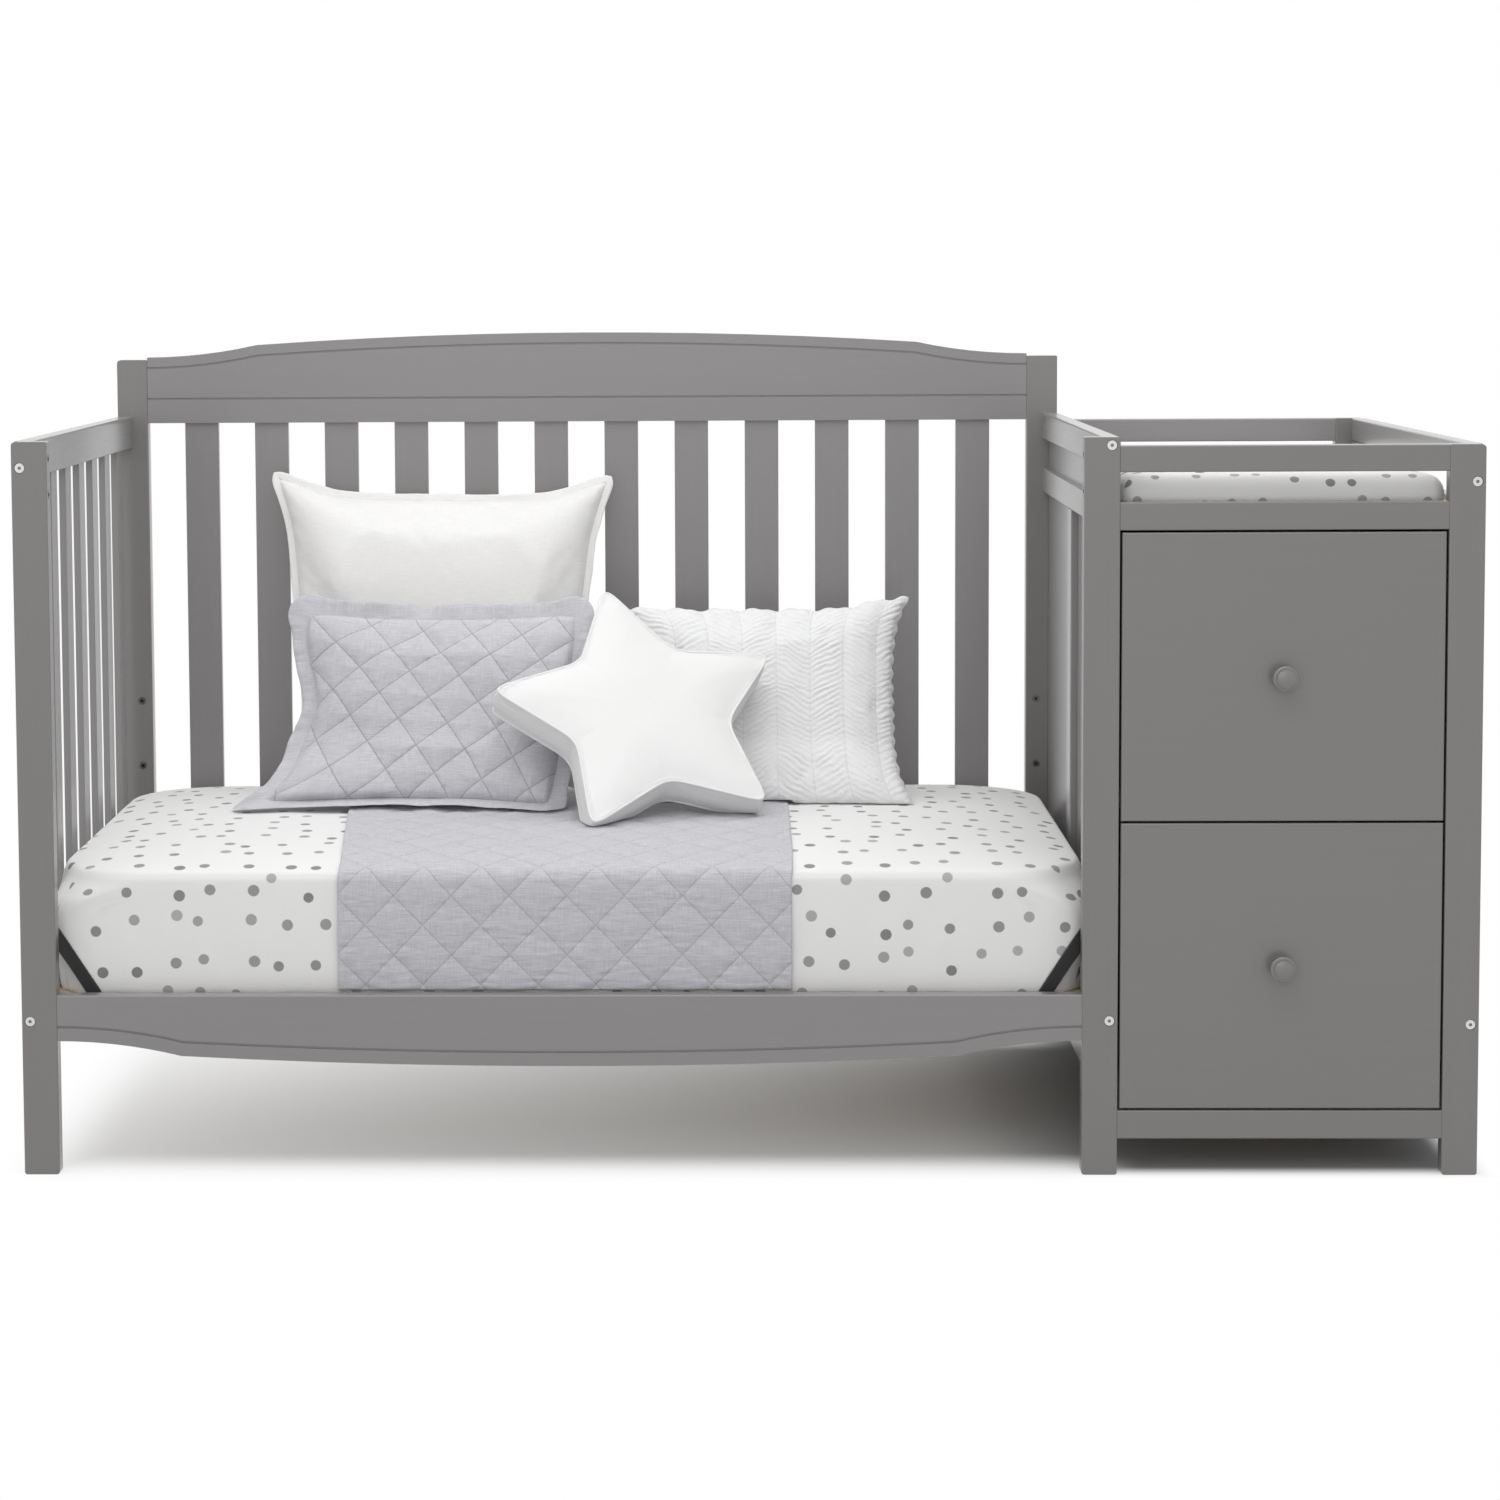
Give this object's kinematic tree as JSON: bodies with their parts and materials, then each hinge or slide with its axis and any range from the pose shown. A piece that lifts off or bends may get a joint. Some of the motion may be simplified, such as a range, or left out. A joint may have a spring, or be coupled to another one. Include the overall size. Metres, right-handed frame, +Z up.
{
  "type": "crib with attached changer",
  "caption": "Convertible crib set up as a daybed: slatted headboard and end, shaped rails, mattress with bedding, and a drawer chest with changing tray on its right end.",
  "frame": {"origin": "on the floor, under the middle of the bounding box", "axes": "+X to the user's right along the crib towards the chest, +Y from the open front to the headboard, +Z up"},
  "size_m": [1.82, 0.78, 1.043],
  "materials": {
    "painted_wood": "satin grey paint",
    "bare_wood": "clear-coated solid wood and plywood",
    "enamelled_steel": "white powder coat",
    "zinc_steel": "zinc plated",
    "nylon": "moulded nylon",
    "dotted_sheet": "white cotton sheet with small grey dots",
    "grey_linen": "light grey quilted linen",
    "white_linen": "white linen weave",
    "ruched_cotton": "white gathered cotton",
    "black_strap": "black elastic webbing"
  },
  "bodies": {
    "crib_and_chest": {"post_front_left": "painted_wood", "post_front_middle": "painted_wood", "post_front_right": "painted_wood", "post_back_left": "painted_wood", "post_back_middle": "painted_wood", "post_back_right": "painted_wood", "crest_rail": "painted_wood", "headboard_slats": "painted_wood", "headboard_bottom_rail": "painted_wood", "front_rail": "painted_wood", "left_top_rail": "painted_wood", "left_slats": "painted_wood", "left_bottom_rail": "painted_wood", "middle_top_rail": "painted_wood", "middle_deck_rail": "painted_wood", "middle_bottom_rail": "painted_wood", "middle_stile": "painted_wood", "middle_panels": "painted_wood", "support_frame": "enamelled_steel", "support_slats": "bare_wood", "support_brackets": "enamelled_steel", "mattress": "dotted_sheet", "sheet_straps": "black_strap", "quilted_throw": "grey_linen", "plain_pillow": "white_linen", "quilted_pillow": "grey_linen", "ruched_pillow": "ruched_cotton", "star_pillow": "white_linen", "chest_front_top_rail": "painted_wood", "chest_front_deck_rail": "painted_wood", "chest_front_bottom_rail": "painted_wood", "chest_back_rails": "painted_wood", "chest_back_panel": "painted_wood", "right_top_rail": "painted_wood", "right_lower_rails": "painted_wood", "right_stiles": "painted_wood", "right_panels": "painted_wood", "chest_battens": "bare_wood", "changing_deck": "bare_wood", "changing_pad": "dotted_sheet", "chest_slides": "enamelled_steel", "bolts": "zinc_steel", "barrel_nuts": "zinc_steel", "threaded_inserts": "zinc_steel"},
    "upper_drawer": {"upper_drawer_front": "painted_wood", "upper_drawer_sides": "bare_wood", "upper_drawer_back": "bare_wood", "upper_drawer_bottom": "bare_wood", "upper_drawer_knob": "painted_wood", "upper_drawer_slides": "enamelled_steel"},
    "upper_running_rollers": {"upper_drawer_rollers": "nylon"},
    "upper_fixed_rollers": {"upper_chest_rollers": "nylon"},
    "lower_drawer": {"lower_drawer_front": "painted_wood", "lower_drawer_sides": "bare_wood", "lower_drawer_back": "bare_wood", "lower_drawer_bottom": "bare_wood", "lower_drawer_knob": "painted_wood", "lower_drawer_slides": "enamelled_steel"},
    "lower_running_rollers": {"lower_drawer_rollers": "nylon"},
    "lower_fixed_rollers": {"lower_chest_rollers": "nylon"}
  },
  "joints": [
    {"name": "upper_drawer_slide", "type": "slide", "parent": "crib_and_chest", "child": "upper_drawer", "axis": [0, -1, 0], "range_m": [0, 0.4]},
    {"name": "upper_fixed_roller_spin", "type": "hinge", "parent": "crib_and_chest", "child": "upper_fixed_rollers", "pos_m": [0.66375, -0.3335, 0.4705], "axis": [1, 0, 0], "range_deg": [-30, 2600]},
    {"name": "upper_running_roller_spin", "type": "hinge", "parent": "upper_drawer", "child": "upper_running_rollers", "pos_m": [0.66375, 0.193, 0.4715], "axis": [1, 0, 0], "range_deg": [-30, 2600]},
    {"name": "lower_drawer_slide", "type": "slide", "parent": "crib_and_chest", "child": "lower_drawer", "axis": [0, -1, 0], "range_m": [0, 0.4]},
    {"name": "lower_fixed_roller_spin", "type": "hinge", "parent": "crib_and_chest", "child": "lower_fixed_rollers", "pos_m": [0.66375, -0.3335, 0.1085], "axis": [1, 0, 0], "range_deg": [-30, 2600]},
    {"name": "lower_running_roller_spin", "type": "hinge", "parent": "lower_drawer", "child": "lower_running_rollers", "pos_m": [0.66375, 0.193, 0.1095], "axis": [1, 0, 0], "range_deg": [-30, 2600]}
  ],
  "couplings": [
    {"joint": "upper_fixed_roller_spin", "follows": "upper_drawer_slide", "rad_per_m": 111.11},
    {"joint": "upper_running_roller_spin", "follows": "upper_drawer_slide", "rad_per_m": 100},
    {"joint": "lower_fixed_roller_spin", "follows": "lower_drawer_slide", "rad_per_m": 111.11},
    {"joint": "lower_running_roller_spin", "follows": "lower_drawer_slide", "rad_per_m": 100}
  ]
}
